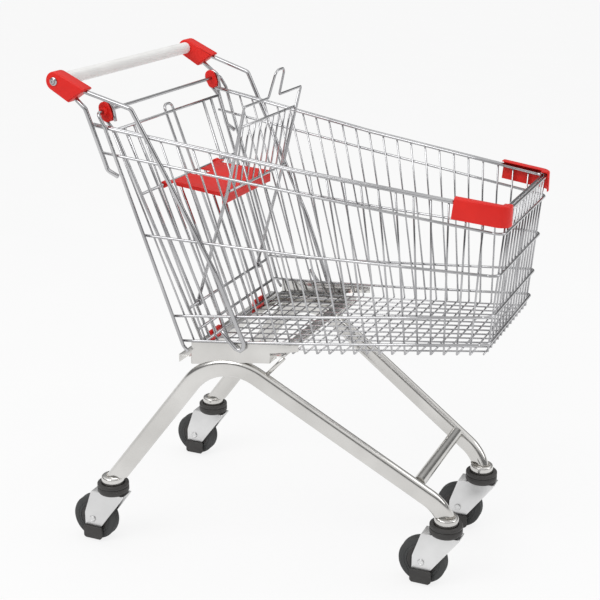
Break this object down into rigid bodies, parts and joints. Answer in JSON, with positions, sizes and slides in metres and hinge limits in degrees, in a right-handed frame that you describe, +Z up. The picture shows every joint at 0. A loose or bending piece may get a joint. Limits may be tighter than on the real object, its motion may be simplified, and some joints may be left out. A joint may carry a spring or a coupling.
{
  "type": "shopping cart",
  "caption": "Wire-basket shopping cart with swivel casters, swing-up rear gate, folding child seat and red trim.",
  "frame": {"origin": "middle of the overall box at ground level", "axes": "+X towards the nose of the basket, +Y to the cart's left seen from the handle, +Z up"},
  "size_m": [0.901, 0.566, 1.0069],
  "materials": {
    "chrome_wire": "bright plated wire",
    "zinc_steel": "bright zinc-plated steel",
    "red_plastic": "satin moulded plastic",
    "white_plastic": "satin moulded plastic",
    "grey_plastic": "dark grey moulded plastic",
    "tyre_rubber": "dark grey solid tyre"
  },
  "bodies": {
    "frame": {"front_cross_tube": "zinc_steel", "rear_cross_channel": "zinc_steel", "front_cross_strip": "zinc_steel", "basket_nose": "chrome_wire", "basket_floor": "chrome_wire", "basket_rear_frame": "chrome_wire", "handle_core": "chrome_wire", "handle_grip": "white_plastic", "leg_tube_left": "zinc_steel", "bracket_left": "zinc_steel", "brace_rod_left": "zinc_steel", "basket_side_left": "chrome_wire", "handle_upper_arm_left": "chrome_wire", "handle_lower_arm_left": "chrome_wire", "handle_cap_left": "red_plastic", "handle_bolt_left": "chrome_wire", "corner_protector_left": "red_plastic", "gate_bearing_left": "red_plastic", "gate_buffer_left": "red_plastic", "leg_tube_right": "zinc_steel", "bracket_right": "zinc_steel", "brace_rod_right": "zinc_steel", "basket_side_right": "chrome_wire", "handle_upper_arm_right": "chrome_wire", "handle_lower_arm_right": "chrome_wire", "handle_cap_right": "red_plastic", "handle_bolt_right": "chrome_wire", "corner_protector_right": "red_plastic", "gate_bearing_right": "red_plastic", "gate_buffer_right": "red_plastic", "caster_cup_rear_left": "zinc_steel", "caster_bumper_rear_left": "grey_plastic", "caster_cup_rear_right": "zinc_steel", "caster_bumper_rear_right": "grey_plastic", "caster_cup_front_left": "zinc_steel", "caster_bumper_front_left": "grey_plastic", "caster_cup_front_right": "zinc_steel", "caster_bumper_front_right": "grey_plastic"},
    "gate": {"gate_frame": "chrome_wire"},
    "seat_back": {"seat_back_frame": "chrome_wire"},
    "seat_plate": {"seat_plate": "red_plastic"},
    "fork_rear_left": {"caster_fork_rear_left": "zinc_steel", "caster_axle_rear_left": "zinc_steel"},
    "wheel_rear_left": {"wheel_hub_rear_left": "white_plastic", "wheel_tyre_rear_left": "tyre_rubber"},
    "fork_rear_right": {"caster_fork_rear_right": "zinc_steel", "caster_axle_rear_right": "zinc_steel"},
    "wheel_rear_right": {"wheel_hub_rear_right": "white_plastic", "wheel_tyre_rear_right": "tyre_rubber"},
    "fork_front_left": {"caster_fork_front_left": "zinc_steel", "caster_axle_front_left": "zinc_steel"},
    "wheel_front_left": {"wheel_hub_front_left": "white_plastic", "wheel_tyre_front_left": "tyre_rubber"},
    "fork_front_right": {"caster_fork_front_right": "zinc_steel", "caster_axle_front_right": "zinc_steel"},
    "wheel_front_right": {"wheel_hub_front_right": "white_plastic", "wheel_tyre_front_right": "tyre_rubber"}
  },
  "joints": [
    {"name": "gate_hinge", "type": "hinge", "parent": "frame", "child": "gate", "pos_m": [-0.33297, 0, 0.93], "axis": [0, -1, 0], "range_deg": [0, 62]},
    {"name": "seat_back_hinge", "type": "hinge", "parent": "gate", "child": "seat_back", "pos_m": [-0.18704, 0, 0.5355], "axis": [0, -1, 0], "range_deg": [0, 18]},
    {"name": "seat_plate_hinge", "type": "hinge", "parent": "gate", "child": "seat_plate", "pos_m": [-0.27268, 0, 0.767], "axis": [0, -1, 0], "range_deg": [0, 96]},
    {"name": "swivel_rear_left", "type": "hinge", "parent": "frame", "child": "fork_rear_left", "pos_m": [-0.35547, 0.2327, 0.1], "axis": [0, 0, 1], "continuous": true},
    {"name": "roll_rear_left", "type": "hinge", "parent": "fork_rear_left", "child": "wheel_rear_left", "pos_m": [-0.40047, 0.2327, 0.05], "axis": [0, 1, 0], "continuous": true},
    {"name": "swivel_rear_right", "type": "hinge", "parent": "frame", "child": "fork_rear_right", "pos_m": [-0.35547, -0.2327, 0.1], "axis": [0, 0, 1], "continuous": true},
    {"name": "roll_rear_right", "type": "hinge", "parent": "fork_rear_right", "child": "wheel_rear_right", "pos_m": [-0.40047, -0.2327, 0.05], "axis": [0, 1, 0], "continuous": true},
    {"name": "swivel_front_left", "type": "hinge", "parent": "frame", "child": "fork_front_left", "pos_m": [0.34753, 0.1281, 0.1], "axis": [0, 0, 1], "continuous": true},
    {"name": "roll_front_left", "type": "hinge", "parent": "fork_front_left", "child": "wheel_front_left", "pos_m": [0.30253, 0.1281, 0.05], "axis": [0, 1, 0], "continuous": true},
    {"name": "swivel_front_right", "type": "hinge", "parent": "frame", "child": "fork_front_right", "pos_m": [0.34753, -0.1281, 0.1], "axis": [0, 0, 1], "continuous": true},
    {"name": "roll_front_right", "type": "hinge", "parent": "fork_front_right", "child": "wheel_front_right", "pos_m": [0.30253, -0.1281, 0.05], "axis": [0, 1, 0], "continuous": true}
  ],
  "couplings": [
    {"joint": "seat_plate_hinge", "follows": "seat_back_hinge", "ratio": 5.3333}
  ]
}
